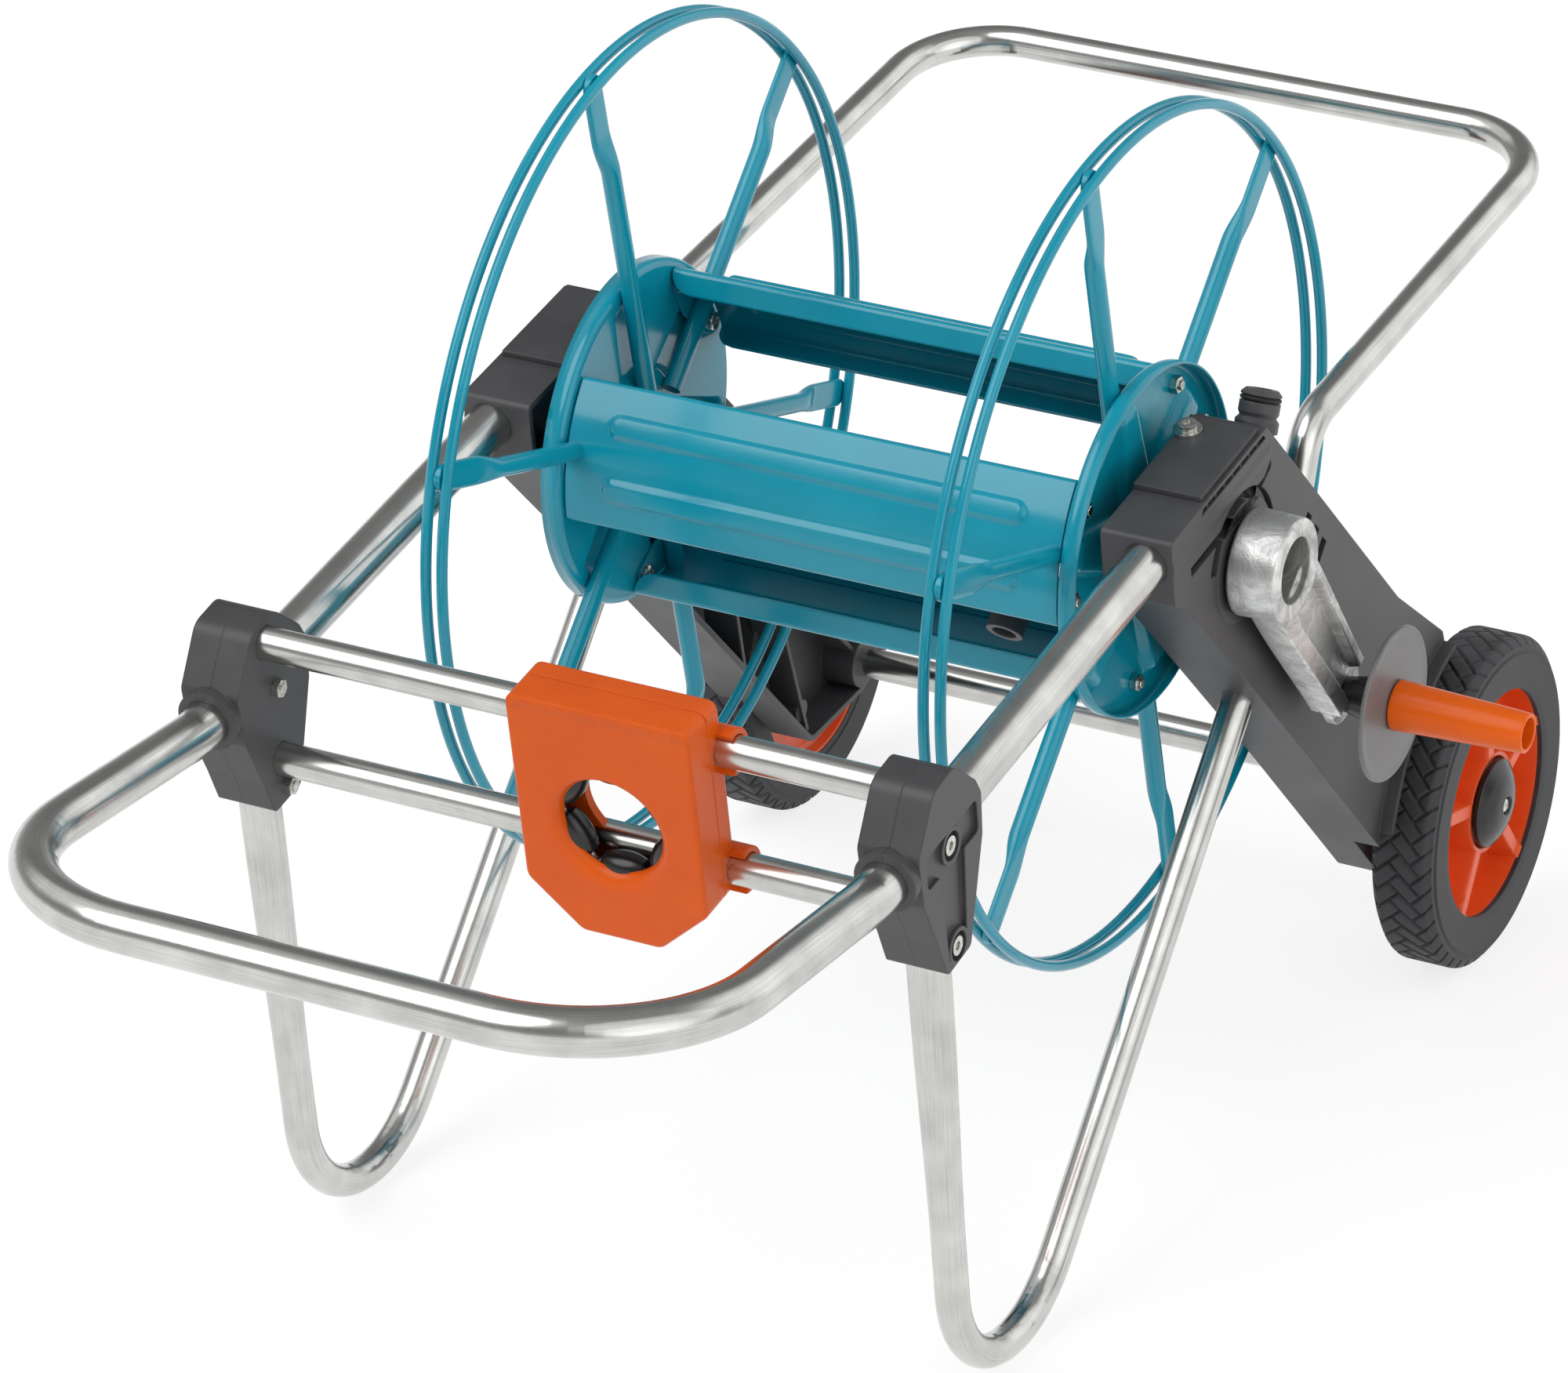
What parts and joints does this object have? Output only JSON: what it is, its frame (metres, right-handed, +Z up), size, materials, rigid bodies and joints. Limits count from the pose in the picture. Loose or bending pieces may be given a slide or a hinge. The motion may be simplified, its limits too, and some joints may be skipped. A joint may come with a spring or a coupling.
{
  "type": "garden hose reel cart",
  "caption": "Hose reel cart on two wheels with a tube frame, wire-rimmed reel, cast crank and a sliding roller hose guide.",
  "frame": {"origin": "middle of the overall box, on the floor", "axes": "+X across the cart towards the crank, +Y rearwards from the front loop to the wheels and handle, +Z up"},
  "size_m": [0.5124, 0.95, 0.5306],
  "materials": {
    "teal_coating": "glossy teal powder coating",
    "galvanised_tube": "bright galvanised steel tube",
    "grey_plastic": "moulded dark grey plastic, fine grain",
    "orange_plastic": "moulded orange plastic, satin",
    "rim_orange": "moulded red-orange plastic",
    "tyre_rubber": "dark grey tyre rubber",
    "cast_metal": "raw die-cast, mottled",
    "disc_grey": "satin grey plastic disc",
    "black_plastic": "black acetal rollers",
    "black_rubber": "black rubber seal",
    "zinc_fasteners": "zinc-plated screws, nuts, pins"
  },
  "bodies": {
    "frame": {"front_loop": "galvanised_tube", "left_leg": "galvanised_tube", "right_leg": "galvanised_tube", "handle": "galvanised_tube", "upper_crossbar": "galvanised_tube", "lower_crossbar": "galvanised_tube", "axle_tube": "galvanised_tube", "axle_rod_bar": "zinc_fasteners", "left_clamp_inner": "grey_plastic", "left_clamp_outer": "grey_plastic", "right_clamp_inner": "grey_plastic", "right_clamp_outer": "grey_plastic", "clamp_screws": "zinc_fasteners", "clamp_nuts": "zinc_fasteners", "left_housing": "grey_plastic", "right_housing": "grey_plastic", "left_cover_plate": "grey_plastic", "right_cover_plate": "grey_plastic", "cover_washers": "zinc_fasteners", "cover_screws": "zinc_fasteners", "inlet_connector": "grey_plastic", "inlet_o_ring": "black_rubber", "water_pipe": "grey_plastic", "left_hub_cap": "grey_plastic", "right_hub_cap": "grey_plastic", "cap_screws": "zinc_fasteners"},
    "reel": {"left_rings": "teal_coating", "right_rings": "teal_coating", "left_spokes": "teal_coating", "right_spokes": "teal_coating", "left_flange": "teal_coating", "right_flange": "teal_coating", "front_stave": "teal_coating", "rear_stave": "teal_coating", "bottom_stave": "teal_coating", "stave_screws": "zinc_fasteners", "stave_nuts": "zinc_fasteners", "reel_shaft": "grey_plastic", "left_bush": "grey_plastic", "right_bush": "grey_plastic", "shaft_cap": "grey_plastic", "hose_outlet": "grey_plastic", "crank": "cast_metal", "crank_collar": "grey_plastic", "hand_guard": "disc_grey", "grip_pin": "zinc_fasteners"},
    "grip": {"grip": "orange_plastic"},
    "left_wheel": {"left_tyre": "tyre_rubber", "left_rim": "rim_orange"},
    "right_wheel": {"right_tyre": "tyre_rubber", "right_rim": "rim_orange"},
    "guide": {"guide_front": "orange_plastic", "guide_rear": "orange_plastic", "roller_pins": "zinc_fasteners"},
    "roller_1": {"roller_1": "black_plastic"},
    "roller_2": {"roller_2": "black_plastic"},
    "roller_3": {"roller_3": "black_plastic"},
    "roller_4": {"roller_4": "black_plastic"},
    "roller_5": {"roller_5": "black_plastic"},
    "roller_6": {"roller_6": "black_plastic"}
  },
  "joints": [
    {"name": "reel_spin", "type": "hinge", "parent": "frame", "child": "reel", "pos_m": [-0.04115, 0.071, 0.323], "axis": [1, 0, 0], "continuous": true},
    {"name": "grip_spin", "type": "hinge", "parent": "reel", "child": "grip", "pos_m": [0.19885, 0.15738, 0.22187], "axis": [1, 0, 0], "continuous": true},
    {"name": "left_wheel_spin", "type": "hinge", "parent": "frame", "child": "left_wheel", "pos_m": [-0.23315, 0.339, 0.086], "axis": [1, 0, 0], "continuous": true},
    {"name": "right_wheel_spin", "type": "hinge", "parent": "frame", "child": "right_wheel", "pos_m": [0.15085, 0.339, 0.086], "axis": [1, 0, 0], "continuous": true},
    {"name": "guide_slide", "type": "slide", "parent": "frame", "child": "guide", "axis": [1, 0, 0], "range_m": [-0.1297, 0.0677]},
    {"name": "roller_1_spin", "type": "hinge", "parent": "guide", "child": "roller_1", "pos_m": [0.01323, -0.24258, 0.27787], "axis": [0.5, -0.1593, 0.8512], "continuous": true},
    {"name": "roller_2_spin", "type": "hinge", "parent": "guide", "child": "roller_2", "pos_m": [-0.01015, -0.2401, 0.2646], "axis": [1, 0, 0], "continuous": true},
    {"name": "roller_3_spin", "type": "hinge", "parent": "guide", "child": "roller_3", "pos_m": [-0.03353, -0.24258, 0.27787], "axis": [0.5, 0.1593, -0.8512], "continuous": true},
    {"name": "roller_4_spin", "type": "hinge", "parent": "guide", "child": "roller_4", "pos_m": [-0.03353, -0.24755, 0.30441], "axis": [-0.5, 0.1593, -0.8512], "continuous": true},
    {"name": "roller_5_spin", "type": "hinge", "parent": "guide", "child": "roller_5", "pos_m": [-0.01015, -0.25003, 0.31768], "axis": [-1, 0, 0], "continuous": true},
    {"name": "roller_6_spin", "type": "hinge", "parent": "guide", "child": "roller_6", "pos_m": [0.01323, -0.24755, 0.30441], "axis": [-0.5, -0.1593, 0.8512], "continuous": true}
  ]
}
